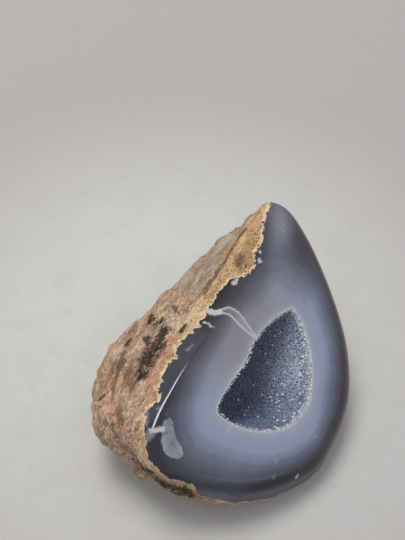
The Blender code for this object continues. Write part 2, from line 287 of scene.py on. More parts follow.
def outlineReach(curve, turns):
    return np.interp(turns, turnOf(curve), np.linalg.norm(curve, axis=1), period=2 * math.pi)


def evenly(line, count):
    lengths = np.concatenate([[0], np.cumsum(np.linalg.norm(np.diff(line, axis=0), axis=1))])
    wanted = np.linspace(0, lengths[-1], count)
    return np.stack([np.interp(wanted, lengths, column) for column in line.T], axis=1)


faceTurn = np.array(Euler((math.radians(face["pitch"]), math.radians(face["roll"]), 0)).to_matrix())
hollowMiddle = np.array(hollow["middle"])
rimCurve = smoothOutline(face["rim"])
bellyCurve = smoothOutline(wall["belly"])
openingCurve = smoothOutline(hollow["opening"])
agateCurve = smoothOutline(agate["edge"], 8)
faceReach = np.linalg.norm(rimCurve, axis=1).max()


def fromFace(spots, heights):
    return np.array(face["centre"]) + np.concatenate([spots, heights[..., None]], axis=-1) @ faceTurn.T


def ontoFace(points):
    return (points - np.array(face["centre"])) @ faceTurn


def rolledShare(turns):
    return 0.5 + 0.5 * np.cos(turns - math.radians(face["rolledSide"]))


def rimBeyond(spots):
    turns = turnOf(spots - hollowMiddle)
    return hollowMiddle + wayOf(turns) * outlineReach(rimCurve - hollowMiddle, turns)[..., None]


def polishHeight(spots):
    rim = rimBeyond(spots)
    share = rolledShare(turnOf(rim))
    x = np.minimum(1, np.linalg.norm(rim - spots, axis=-1) / between(face["shoulderWidth"], share))
    power = between(face["shoulderRound"], share)
    rise = np.maximum(0, 1 - (1 - x) ** power) ** (1 / power)
    height = between(face["shoulderDrop"], share) * (rise - 1)
    return height - face["crown"] * (np.linalg.norm(spots, axis=-1) / faceReach) ** 2


def hollowPoints(edges, openings, turn, inset):
    shrink = 1 - inset / np.linalg.norm(edges, axis=-1)
    across = edges * (shrink * np.cos(turn) ** hollow["fullness"])[..., None]
    spots = hollowMiddle + across + np.array(hollow["lean"]) * np.sin(turn)
    return fromFace(spots, openings - (hollow["depth"] - inset) * np.sin(turn))


def outlineDistance(spots, curve):
    # Distance to a closed outline, positive inside it.
    nearest = np.full(len(spots), 1e9)
    inside = np.zeros(len(spots), bool)
    for start, end in zip(curve, np.roll(curve, -1, axis=0)):
        step = end - start
        offset = spots - start
        share = np.clip(offset @ step / (step @ step), 0, 1)
        nearest = np.minimum(nearest, np.linalg.norm(offset - share[:, None] * step, axis=1))
        crosses = (start[1] > spots[:, 1]) != (end[1] > spots[:, 1])
        if crosses.any():
            rise = (spots[:, 1] - start[1]) / (step[1] if step[1] else 1e-9)
            inside ^= crosses & (spots[:, 0] < start[0] + rise * step[0])
    return np.where(inside, nearest, -nearest)


def lineAcross(spots, line):
    # Signed distance across an open line, and how far along it.
    nearest = np.full(len(spots), 1e9)
    across, along = np.zeros(len(spots)), np.zeros(len(spots))
    walked = 0
    for start, end in zip(line, line[1:]):
        length = np.linalg.norm(end - start)
        way = (end - start) / length
        offset = spots - start
        forward = offset @ way
        side = offset[:, 0] * way[1] - offset[:, 1] * way[0]
        miss = np.hypot(side, forward - np.clip(forward, 0, length))
        nearer = miss < nearest
        nearest[nearer] = miss[nearer]
        across[nearer] = np.copysign(miss, side)[nearer]
        along[nearer] = (walked + forward)[nearer]
        walked += length
    return across, along / walked


def openLine(points):
    knots = np.array(points, float)
    curve = smoothOutline(np.vstack([2 * knots[:1] - knots[1:2], knots, 2 * knots[-1:] - knots[-2:-1]]), 6)
    return curve[6 : 6 * len(knots) + 1]


def gapToLine(places, line):
    # Distance to an open line in two or three dimensions.
    line = np.array(line, float)
    nearest = np.full(places.shape[:-1], 1e9)
    for start, end in zip(line, line[1:]):
        step = end - start
        offset = places - start
        share = np.clip(offset @ step / (step @ step), 0, 1)
        nearest = np.minimum(nearest, np.linalg.norm(offset - share[..., None] * step, axis=-1))
    return nearest


def marksGap(places, marks):
    return np.min([gapToLine(places, line) - width for line, width in marks], axis=0)


def gridNormals(grid):
    # Outward normals of rows of points that each run round the stone.
    round_ = np.roll(grid, -1, axis=1) - np.roll(grid, 1, axis=1)
    down = np.gradient(grid, axis=0)
    normals = np.cross(down, round_)
    return normals / np.maximum(1e-9, np.linalg.norm(normals, axis=-1))[..., None]


def stainMask(points, stains):
    masks = [np.exp(-(gapToLine(points, line) / width) ** 2) for line, width in stains]
    return np.max(masks, axis=0)


def noiseOver(points, size, shift=(0, 0, 0)):
    offset = Vector(shift)
    flat = [noise.noise(Vector(point) / size + offset) for point in points.reshape(-1, 3)]
    return np.array(flat).reshape(points.shape[:-1])


def broadRelief(points):
    height = wall["lumps"][0] * noiseOver(points, wall["lumps"][1])
    creases = np.abs(noiseOver(points, wall["creases"][1], (3, 8, 1))) - 0.2
    height += wall["creases"][0] * np.minimum(0, creases)
    height += wall["grain"][0] * noiseOver(points, wall["grain"][1], (7, 3, 5))
    for spot, size, depth in wall["dents"]:
        height -= depth * np.exp(-(np.linalg.norm(points - np.array(spot), axis=-1) / size) ** 2)
    return height


def fineRelief(points, smooth):
    # Ledges that run one way, nubs, grit and pits. The smooth skin keeps little of them.
    height, across, along = rind["ledges"]
    way = np.array(rind["ledgeWay"]) / np.linalg.norm(rind["ledgeWay"])
    drawn = points - (points @ way)[..., None] * way * (1 - across / along)
    ledges = 1 - 2 * np.abs(noiseOver(drawn, across, (2, 9, 4)))
    relief = height * (ledges - 0.6)
    relief += rind["nubs"][0] * noiseOver(points, rind["nubs"][1], (5, 5, 1))
    relief += rind["grit"][0] * noiseOver(points, rind["grit"][1], (1, 6, 8))
    pits = noiseOver(points, rind["pits"][1], (4, 2, 7))
    relief -= rind["pits"][0] * np.maximum(0, pits - 0.32)
    return relief * (1 - 0.8 * smooth) - 0.15


def makePiece(name, points, faces, material, smooth, **attributes):
    mesh = bpy.data.meshes.new(name)
    mesh.from_pydata((points * mm).tolist(), [], faces)
    mesh.materials.append(material)
    mesh.polygons.foreach_set("use_smooth", [smooth] * len(mesh.polygons))
    for label, values in attributes.items():
        values = np.asarray(values, np.float32)
        if values.ndim == 1:
            layer, part = mesh.attributes.new(label, "FLOAT", "POINT"), "value"
        else:
            layer, part = mesh.attributes.new(label, "FLOAT_VECTOR", "POINT"), "vector"
        layer.data.foreach_set(part, values.ravel())
    if smooth:
        mesh.set_sharp_from_angle(angle=math.radians(48))
    mesh.update()
    piece = bpy.data.objects.new(name, mesh)
    bpy.context.scene.collection.objects.link(piece)
    return piece


def gridFaces(rows, columns, turned):
    here = np.arange(rows * columns).reshape(rows, columns)
    right = np.roll(here, -1, axis=1)
    corners = [here[:-1], right[:-1], right[1:], here[1:]]
    if turned:
        corners = [corners[k] for k in (0, 3, 2, 1)]
    return np.stack(corners, axis=-1).reshape(-1, 4).tolist()


def fanFaces(tip, ring, turned):
    after = np.roll(ring, -1)
    if turned:
        return [(tip, int(b), int(a)) for a, b in zip(ring, after)]
    return [(tip, int(a), int(b)) for a, b in zip(ring, after)]


def closedFaces(rows, columns, turned=False):
    # Faces of rows of points that each run round, closed by a point at either end. Those of the stone are
    # turned, because its first rows line a hollow, and the crust's first rows are its outside.
    count = rows * columns
    faces = gridFaces(rows, columns, turned)
    faces += fanFaces(count, np.arange(columns), not turned)
    return faces + fanFaces(count + 1, np.arange(count - columns, count), turned)


# Short ways to add shader nodes, each fed by a value or by the output of another node.
def paint(red, green, blue):
    shares = [value / 255 for value in (red, green, blue)]
    return (*(share / 12.92 if share < 0.04 else ((share + 0.055) / 1.055) ** 2.4 for share in shares), 1)


def feed(tree, socket, value):
    if isinstance(value, bpy.types.NodeSocket):
        tree.links.new(value, socket)
    else:
        socket.default_value = value


def addNode(tree, kind, inputs=None, **settings):
    made = tree.nodes.new(kind)
    for name, value in settings.items():
        setattr(made, name, value)
    for name, value in (inputs or {}).items():
        feed(tree, made.inputs[name], value)
    return made


def maths(tree, operation, *values):
    made = tree.nodes.new("ShaderNodeMath")
    made.operation = operation
    for socket, value in zip(made.inputs, values):
        feed(tree, socket, value)
    return made.outputs[0]


def times(tree, first, *others):
    for other in others:
        first = maths(tree, "MULTIPLY", first, other)
    return first


def mixPaint(tree, share, first, second, blend="MIX"):
    made = addNode(tree, "ShaderNodeMix", data_type="RGBA", blend_type=blend)
    for index, value in ((0, share), (6, first), (7, second)):
        feed(tree, made.inputs[index], value)
    return made.outputs[2]


def layered(tree, paints, colour, *layers):
    # Paints laid over a colour one after another, each with its share. Paints go by their names.
    colour = paints.get(colour, colour)
    for share, name in layers:
        colour = mixPaint(tree, share, colour, paints[name])
    return colour


def rise(tree, value, low, high, bottom=0.0, top=1.0):
    made = addNode(tree, "ShaderNodeMapRange", interpolation_type="SMOOTHSTEP")
    for index, amount in enumerate((value, low, high, bottom, top)):
        feed(tree, made.inputs[index], amount)
    return made.outputs[0]


def ramp(tree, share, stops):
    made = addNode(tree, "ShaderNodeValToRGB", {"Fac": share})
    elements = made.color_ramp.elements
    while len(elements) < len(stops):
        elements.new(0.5)
    for element, (position, colour) in zip(elements, stops):
        element.position = position
        element.color = colour
    return made.outputs[0]


def noiseNode(tree, place, scale, detail=2.0, roughness=0.5, distortion=0.0):
    inputs = {"Vector": place, "Scale": scale, "Detail": detail, "Roughness": roughness}
    inputs["Distortion"] = distortion
    return addNode(tree, "ShaderNodeTexNoise", inputs).outputs["Fac"]


def attribute(tree, name, output="Fac"):
    return addNode(tree, "ShaderNodeAttribute", attribute_name=name).outputs[output]


def partsOf(tree, name):
    return addNode(tree, "ShaderNodeSeparateXYZ", {0: attribute(tree, name, "Vector")}).outputs


def vectorMath(tree, operation, *values):
    return addNode(tree, "ShaderNodeVectorMath", dict(enumerate(values)), operation=operation)


def placeInMm(tree):
    place = addNode(tree, "ShaderNodeTexCoord").outputs["Object"]
    return vectorMath(tree, "MULTIPLY", place, (1000, 1000, 1000)).outputs[0]


def drawnAlong(tree, place, way, amount):
    # The place pressed together along one way, so that a noise on it is drawn out that way.
    along = vectorMath(tree, "DOT_PRODUCT", place, way).outputs["Value"]
    back = vectorMath(tree, "SCALE", way)
    feed(tree, back.inputs["Scale"], times(tree, along, -amount))
    return vectorMath(tree, "ADD", place, back.outputs[0]).outputs[0]


def jitter(tree, value, *noises):
    # A value moved up and down by noises that run round 0.5, each with how far it moves it.
    for share, amount in zip(noises[::2], noises[1::2]):
        value = maths(tree, "ADD", value, times(tree, maths(tree, "SUBTRACT", share, 0.5), amount))
    return value


def bumpOn(tree, shader, height, distance, strength):
    inputs = {"Height": height, "Distance": distance * mm, "Strength": strength}
    feed(tree, shader.inputs["Normal"], addNode(tree, "ShaderNodeBump", inputs).outputs[0])


def newGroup(name, inputs, outputs):
    tree = bpy.data.node_groups.new(name, "ShaderNodeTree")
    for label, kind, value in inputs:
        socket = tree.interface.new_socket(name=label, in_out="INPUT", socket_type=kind)
        if value is not None:
            socket.default_value = value
    for label, kind in outputs:
        tree.interface.new_socket(name=label, in_out="OUTPUT", socket_type=kind)
    return tree, tree.nodes.new("NodeGroupInput"), tree.nodes.new("NodeGroupOutput")


def makeGrainGroup():
    # Speckles and pits of a mineral surface at one size, as a tone round 0.5 and a height.
    inputs = [("Place", "NodeSocketVector", None), ("Size", "NodeSocketFloat", 1.0)]
    outputs = [("Tone", "NodeSocketFloat"), ("Height", "NodeSocketFloat"), ("Pits", "NodeSocketFloat")]
    tree, given, out = newGroup("mineralGrain", inputs, outputs)
    place, size = given.outputs["Place"], given.outputs["Size"]
    scale = maths(tree, "DIVIDE", 1.0, size)
    coarse = noiseNode(tree, place, scale, 4.0, 0.62)
    fine = noiseNode(tree, place, times(tree, scale, 3.7), 3.0, 0.6)
    cells = addNode(tree, "ShaderNodeTexVoronoi", {"Vector": place, "Scale": times(tree, scale, 1.3)})
    pits = rise(tree, cells.outputs["Distance"], 0.42, 0.12)
    tone = maths(tree, "ADD", times(tree, coarse, 0.6), times(tree, fine, 0.4))
    height = maths(tree, "SUBTRACT", tone, times(tree, pits, 0.25))
    for label, value in (("Tone", tone), ("Height", height), ("Pits", pits)):
        feed(tree, out.inputs[label], value)
    return tree


grainGroup = makeGrainGroup()


def grain(tree, place, size):
    made = addNode(tree, "ShaderNodeGroup", node_tree=grainGroup)
    feed(tree, made.inputs["Place"], place)
    made.inputs["Size"].default_value = size
    return made.outputs


def newMaterial(name, **values):
    material = bpy.data.materials.new(name)
    material.use_nodes = True
    tree = material.node_tree
    shader = tree.nodes["Principled BSDF"]
    for label, value in values.items():
        shader.inputs[label.replace("_", " ")].default_value = value
    return material, tree, shader


agatePaint = {
    "inner": paint(136, 143, 163),
    "milky": paint(123, 131, 153),
    "middle": paint(91, 96, 115),
    "dark": paint(60, 62, 75),
    "darkest": paint(25, 25, 34),
    "greyer": (0.87, 0.74, 0.63, 1),
    "warm": paint(84, 62, 58),
    "halo": paint(150, 146, 154),
    "fringe": paint(182, 182, 184),
    "vein": paint(150, 150, 156),
    "veinCore": paint(188, 186, 188),
    # Painted highlight along the crease, and a painted dark reflection beside it.
    "crease": paint(206, 206, 212),
    "leftOfCrease": paint(72, 74, 90),
    "blade": paint(128, 130, 142),
    "bladeEdge": paint(150, 152, 160),
    "dot": paint(182, 181, 178),
}

rindPaint = {
    "tan": paint(172, 142, 118),
    "pale": paint(204, 176, 150),
    "brown": paint(104, 74, 54),
    "redBrown": paint(136, 86, 62),
    "flake": paint(226, 200, 172),
    "pink": paint(204, 150, 124),
    "yellow": paint(176, 140, 100),
    "cream": paint(202, 170, 126),
    "paleYellow": paint(212, 188, 150),
    "ochre": paint(140, 98, 60),
    "skin": paint(182, 162, 142),
    "skinDark": paint(136, 116, 96),
    "oval": paint(84, 62, 50),
    "manganese": paint(28, 25, 25),
    "edgeCream": paint(230, 208, 168),
    "lowTan": paint(184, 150, 116),
}


def agateColour(tree, place):
    # Milky blue round the hollow, dark towards the outside, with faint bands and clouds, and painted sheen
    # near the tip and along the front rim.
    warp = noiseNode(tree, place, 0.09, 3.0, 0.5)
    fineWarp = noiseNode(tree, place, 0.45, 4.0, 0.6)
    cloud = noiseNode(tree, place, 0.9, 4.0, 0.65)
    grit = noiseNode(tree, place, 2.2, 3.0, 0.65)
    bands = maths(tree, "SINE", jitter(tree, times(tree, attribute(tree, "bandShare"), 88.0), warp, 10.0))
    shade = jitter(tree, attribute(tree, "darkness"), warp, 0.22)
    shade = maths(tree, "ADD", shade, times(tree, bands, 0.014))
    shade = jitter(tree, shade, fineWarp, 0.10)
    names = ("inner", "milky", "middle", "dark", "darkest")
    colour = ramp(tree, shade, [(k / 4, agatePaint[name]) for k, name in enumerate(names)])
    # Greyer on one side, and greyer still under the painted sheen near the tip.
    colour = mixPaint(tree, attribute(tree, "greyShare"), colour, agatePaint["greyer"], "MULTIPLY")
    nearHollow = attribute(tree, "openingDistance")
    colour = layered(
        tree, agatePaint, colour,
        (times(tree, attribute(tree, "warmShare"), 0.55), "warm"),
        (rise(tree, jitter(tree, nearHollow, cloud, 2.0), 3.0, 0.2, 0, 0.42), "halo"),
        (rise(tree, jitter(tree, nearHollow, grit, 2.6), 0.6, 0.1, 0, 0.5), "fringe"),
    )

    # The two veins, and the greyer agate between them, which the lower one's third value marks.
    for name, width, strength in (("upperVein", 0.62, 0.72), ("lowerVein", 0.58, 0.85)):
        line = partsOf(tree, name)
        broken = jitter(tree, maths(tree, "ABSOLUTE", line[0]), cloud, 0.8, grit, 1.1)
        core = rise(tree, broken, 0.6 * width, 0.15 * width, 0, strength)
        colour = layered(
            tree, agatePaint, colour,
            (rise(tree, broken, width, width * 0.45, 0, 0.5), "vein"),
            (times(tree, core, rise(tree, cloud, 0.38, 0.56, 0.4, 1.0)), "veinCore"),
        )
    filled = times(tree, line[2], rise(tree, cloud, 0.35, 0.6, 0.15, 0.4))

    # The crease is dark in its middle part and pale towards its foot, the pale part a painted highlight along
    # it. The field left of it is painted towards a bluish dark, a painted dark reflection.
    line = partsOf(tree, "creaseLine")
    across, along = maths(tree, "ABSOLUTE", line[0]), line[1]
    width = rise(tree, along, 0.35, 0.95, 0.18, 0.30)
    inside = rise(tree, maths(tree, "DIVIDE", jitter(tree, across, grit, 0.3), width), 1.0, 0.5)
    dull = rise(tree, maths(tree, "ABSOLUTE", maths(tree, "SUBTRACT", along, 0.3)), 0.36, 0.2, 0, 0.55)
    blade = jitter(tree, attribute(tree, "bladeDistance"), cloud, 0.7)
    body = times(tree, rise(tree, blade, -0.2, 0.25, 0, 0.8), rise(tree, fineWarp, 0.35, 0.6, 0.55, 1.0))
    rimmed = times(tree, rise(tree, blade, 1.6, 0.2, 0, 0.7), body, attribute(tree, "bladeFoot"))
    colour = layered(
        tree, agatePaint, colour,
        (filled, "vein"),
        (times(tree, line[2], 0.4), "leftOfCrease"),
        (times(tree, inside, dull), "darkest"),
        (times(tree, inside, rise(tree, along, 0.32, 0.6, 0.0, 0.9)), "crease"),
        (body, "blade"),
        (rimmed, "bladeEdge"),
    )
    for name, soft, strength in (("paleMarks", 0.35, 0.85), ("faintMarks", 0.5, 0.28)):
        gap = jitter(tree, attribute(tree, name), cloud, 1.4, grit, 1.6)
        colour = mixPaint(tree, rise(tree, gap, soft, -soft, 0, strength), colour, agatePaint["dot"])
    speck = addNode(tree, "ShaderNodeTexVoronoi", {"Vector": place, "Scale": 0.24})
    specks = rise(tree, speck.outputs["Distance"], 0.055, 0.03, 0, 0.55)
    return mixPaint(tree, specks, colour, agatePaint["vein"])


def rindColour(tree, place, edge):
    # Ground yellow band beside the agate, then pink, tan and grey natural skin with black stains.
    way = Vector(rind["ledgeWay"]).normalized()
    drawn = drawnAlong(tree, place, way, 0.5)
    broad = noiseNode(tree, place, 0.10, 3.0, 0.55)
    patches = noiseNode(tree, drawn, 0.28, 4.0, 0.6, 0.5)
    streaks = noiseNode(tree, drawn, 0.8, 4.0, 0.7, 0.6)
    flecks = noiseNode(tree, drawn, 1.8, 3.0, 0.65, 0.3)
    dots = noiseNode(tree, place, 3.0, 2.0, 0.6)
    coarse, fine = grain(tree, place, 1.4), grain(tree, place, 0.5)
    stains, tints = partsOf(tree, "stains"), partsOf(tree, "tints")

    drawnOut = drawnAlong(tree, place, way, 0.82)
    lines = []
    for scale, width in ((0.55, 0.05), (0.8, 0.04)):
        wavy = noiseNode(tree, drawnOut, scale, 4.0, 0.62, 0.8)
        off = maths(tree, "ABSOLUTE", maths(tree, "SUBTRACT", wavy, 0.5))
        line = rise(tree, off, width, 0.2 * width, 0, 0.65)
        lines.append(times(tree, line, rise(tree, dots, 0.38, 0.56, 0.1, 1.0)))
    cracks, ridges = lines

    pink = jitter(tree, tints[0], patches, 2.0, streaks, 1.4)
    yellow = rise(tree, jitter(tree, tints[1], patches, 2.4, flecks, 2.0), 0.35, 0.9, 0, 0.75)
    colour = layered(
        tree, rindPaint, "tan",
        (rise(tree, patches, 0.38, 0.62), "pale"),
        (rise(tree, jitter(tree, broad, streaks, 0.9), 0.56, 0.36, 0, 0.5), "ochre"),
        (rise(tree, pink, 0.45, 1.05, 0, 0.65), "pink"),
        (yellow, "paleYellow"),
        (rise(tree, streaks, 0.46, 0.34, 0, 0.55), "redBrown"),
        (rise(tree, flecks, 0.53, 0.64, 0, 0.8), "flake"),
        (rise(tree, jitter(tree, flecks, dots, 0.5), 0.42, 0.30, 0, 0.75), "brown"),
        (times(tree, ridges, 0.7), "flake"),
        (cracks, "brown"),
    )
    skin = layered(
        tree, rindPaint, "skinDark",
        (rise(tree, jitter(tree, fine["Tone"], patches, 0.8), 0.4, 0.62), "skin"),
        (rise(tree, streaks, 0.40, 0.28, 0, 0.6), "ochre"),
        (rise(tree, dots, 0.40, 0.28, 0, 0.5), "brown"),
    )
    skinShare = rise(tree, jitter(tree, tints[2], patches, 3.0), -0.3, 0.5, 0, 0.92)
    colour = mixPaint(tree, skinShare, colour, skin)

    ground = layered(
        tree, rindPaint, "yellow",
        (rise(tree, jitter(tree, coarse["Tone"], patches, 1.2), 0.42, 0.66), "cream"),
        (rise(tree, streaks, 0.50, 0.38, 0, 0.65), "ochre"),
        (rise(tree, jitter(tree, tints[0], streaks, 2.4), 0.3, 0.9, 0, 0.75), "pink"),
        (times(tree, yellow, 0.8), "paleYellow"),
        (rise(tree, flecks, 0.55, 0.64, 0, 0.5), "edgeCream"),
        (times(tree, coarse["Pits"], 0.55), "brown"),
        (times(tree, stains[2], 0.7), "lowTan"),
    )
    cut = rise(tree, jitter(tree, attribute(tree, "rimDistance"), patches, 5.0), 0.9, -0.3)
    colour = mixPaint(tree, cut, colour, ground)

    smear = jitter(tree, stains[1], streaks, 2.2, dots, 1.4)
    dark = jitter(tree, stains[0], streaks, 2.8, flecks, 1.8, dots, 1.0)
    border = jitter(tree, maths(tree, "ABSOLUTE", maths(tree, "ADD", edge, 0.35)), flecks, 1.6)
    border = times(
        tree, rise(tree, border, 0.6, 0.1, 0, 0.9), rise(tree, streaks, 0.36, 0.5, 0.35, 1.0),
        rise(tree, stains[2], 0.0, 1.0, 1.0, 0.4),
    )
    colour = layered(
        tree, rindPaint, colour,
        (rise(tree, smear, 0.35, 0.85, 0, 0.8), "oval"),
        (rise(tree, dark, 0.34, 0.68, 0, 0.94), "manganese"),
        # Painted shade: the low places of the relief, its pits and the groove under the skin's lip, are
        # painted brown.
        (rise(tree, attribute(tree, "relief"), -0.25, -0.95, 0, 0.75), "brown"),
        (border, "edgeCream"),
    )
    grit = times(tree, jitter(tree, fine["Height"], flecks, 1.6), 0.7)
    height = maths(tree, "SUBTRACT", maths(tree, "ADD", coarse["Height"], grit), times(tree, cracks, 0.6))
    return colour, maths(tree, "ADD", height, times(tree, ridges, 0.4))


def makeStoneMaterial():
    material, tree, shader = newMaterial("agateAndRind", IOR=1.54)
    place = placeInMm(tree)
    ragged = noiseNode(tree, place, 1.3, 3.0, 0.65)
    edge = jitter(tree, attribute(tree, "edgeDistance"), ragged, 0.5)
    polished = rise(tree, edge, -0.06, 0.06)
    unpolished = maths(tree, "SUBTRACT", 1.0, polished)
    rough, height = rindColour(tree, place, edge)
    feed(tree, shader.inputs["Base Color"], mixPaint(tree, polished, rough, agateColour(tree, place)))
    gloss = rise(tree, noiseNode(tree, place, 0.16, 3.0, 0.6), 0.35, 0.7, 0.13, 0.22)
    roughness = maths(tree, "ADD", times(tree, gloss, polished), times(tree, unpolished, 0.82))
    feed(tree, shader.inputs["Roughness"], roughness)
    bumpOn(tree, shader, times(tree, height, unpolished), 0.4, 0.85)
    return material


def waysDown(tops):
    # Ways down the side, drawn apart where the rim turns sharply.
    ways = np.unwrap(turnOf(tops))
    width = 2 * wall["averaged"] + 1
    for _ in range(wall["averagings"]):
        wrapped = np.concatenate([ways - 2 * math.pi, ways, ways + 2 * math.pi])
        ways = np.convolve(wrapped, np.ones(width) / width, "same")[len(ways) : 2 * len(ways)]
    return ways


def sideLines(tops, bellies, bellyHeights, feet):
    # Lines from the rim out to the widest place and in to the foot.
    steps = np.linspace(0, math.pi, wall["steps"])
    above = (steps < math.pi / 2)[:, None]
    lines, lengths, bellyRows = [], [], []
    for top, belly, bellyHeight, foot in zip(tops, bellies, bellyHeights, feet):
        start = np.where(above, top[:2], foot)
        startHeight = np.where(above[:, 0], top[2], 0)
        plan = start + (belly - start) * np.sin(steps)[:, None]
        height = bellyHeight + (startHeight - bellyHeight) * np.abs(np.cos(steps))
        line = np.concatenate([plan, height[:, None]], axis=1)
        parts = np.linalg.norm(np.diff(line, axis=0), axis=1)
        lengths.append(parts.sum())
        bellyRows.append(wall["rings"] * parts[: len(parts) // 2].sum() / parts.sum())
        lines.append(evenly(line, wall["rings"] + 1))
    return np.array(lines).transpose(1, 0, 2), np.array(lengths), np.array(bellyRows)


def rollOver(grid, rimRow, widest, bellyRows):
    # Where the agate reaches over the edge, the polish rolls down to the widest place in one curve.
    rimSpots = ontoFace(grid[rimRow])[:, :2]
    overAgate = ease(outlineDistance(rimSpots, agateCurve), 0.2, 2.2)[:, None]
    overAgate *= ease(-rimSpots[:, 1:], *wall["roll"]["below"])
    rollStart = rimRow - wall["roll"]["rows"]
    rollEnds = rimRow + bellyRows
    start = grid[rollStart].copy()
    onward = start - grid[rollStart - 1]
    onward /= np.linalg.norm(onward, axis=1)[:, None]
    pull = np.linalg.norm(widest - start, axis=1)[:, None] * wall["roll"]["fullness"]
    for row in range(rollStart, rimRow + wall["rings"] // 2):
        t = ((row - rollStart) / (rollEnds - rollStart))[:, None]
        curve = (1 + 2 * t) * (1 - t) ** 2 * start + t * (1 - t) ** 2 * pull * onward
        curve += t * t * (3 - 2 * t) * widest + t * t * (1 - t) * pull * np.array((0, 0, 1))
        grid[row] += overAgate * (t <= 1) * (curve - grid[row])


def groundRelief(places, fromRim, fromAgate, smooth):
    # The ground band of rind is pitted, and a groove runs under the lip of the smooth skin.
    cut = ease(-fromAgate, 0.0, 0.5)
    depth, size = rind["cutPits"]
    relief = -0.12 - depth * np.maximum(0, noiseOver(places, size, (6, 2, 2)) + 0.15)
    relief -= 0.12 * noiseOver(places, 0.7, (6, 5, 2))
    lip = ease(fromRim, -1.6, -0.5) * ease(-fromRim, 0.0, 0.35)
    relief -= rind["groove"] * lip * smooth
    return relief * cut, relief * cut - 0.3 * lip * smooth * cut


def faceShades(flat, middle, outward, fromRim):
    # How dark and how grey the agate is. Near the tip a painted sheen makes it lighter and greyer.
    degrees = np.degrees(turnOf(middle))
    zones = np.array(agate["milkyZone"], float)
    milkEnd, darkStart = (np.interp(degrees, zones[:, 0], zones[:, k], period=360) for k in (1, 2))
    innerShare = np.clip((outward - 0.3) / np.maximum(0.05, milkEnd - 0.3), 0, 1)
    outerShare = np.clip((outward - milkEnd) / (darkStart - milkEnd), 0, 1)
    darkness = 0.25 * innerShare + 0.75 * outerShare
    # A painted sheen near the tip: the agate there is painted lighter and greyer.
    sheenMiddle, sheenSize = (np.array(pair) for pair in agate["tipSheen"])
    tipSheen = np.exp(-(((flat - sheenMiddle) / sheenSize) ** 2).sum(axis=1))
    darkness *= 1 - agate["tipSheenStrength"] * tipSheen
    # In front the agate is painted lighter close to the rim, a painted sheen.
    inFront = ease(-flat[:, 1], 30, 36) * ease(flat[:, 0], -22, -12)
    darkness -= 0.25 * ease(fromRim, -2.5, 0) * inFront
    for place, width, amount in agate["frontLines"]:
        darkness += amount * np.exp(-(((fromRim - place) / width) ** 2)) * inFront
    greyShare = np.clip(1.5 * np.cos(turnOf(middle) - math.radians(agate["greyWay"])) - 0.5, 0, 1)
    return darkness, np.maximum(greyShare * ease(np.linalg.norm(middle, axis=1), 6, 12), tipSheen)


def faceLines(flat):
    # For each line the distance across it, the way along it, and the field beside it.
    lines = []
    for name in ("upperVein", "lowerVein", "crease"):
        across, along = lineAcross(flat, openLine(agate[name]))
        lines.append(np.stack([across, along, 0 * along], axis=1))
    upper, lower, crease = lines
    enclosed = upper[:, 0] * lower[:, 0] < 0
    lower[:, 2] = enclosed * ease(lower[:, 1], 0.02, 0.2) * (np.abs(upper[:, 0]) < 3.2)
    beside = ease(crease[:, 0], 0, 0.25) * ease(-crease[:, 0], -9, -5)
    crease[:, 2] = beside * ease(crease[:, 1], 0, 0.1) * ease(1 - crease[:, 1], 0, 0.1)
    return lines


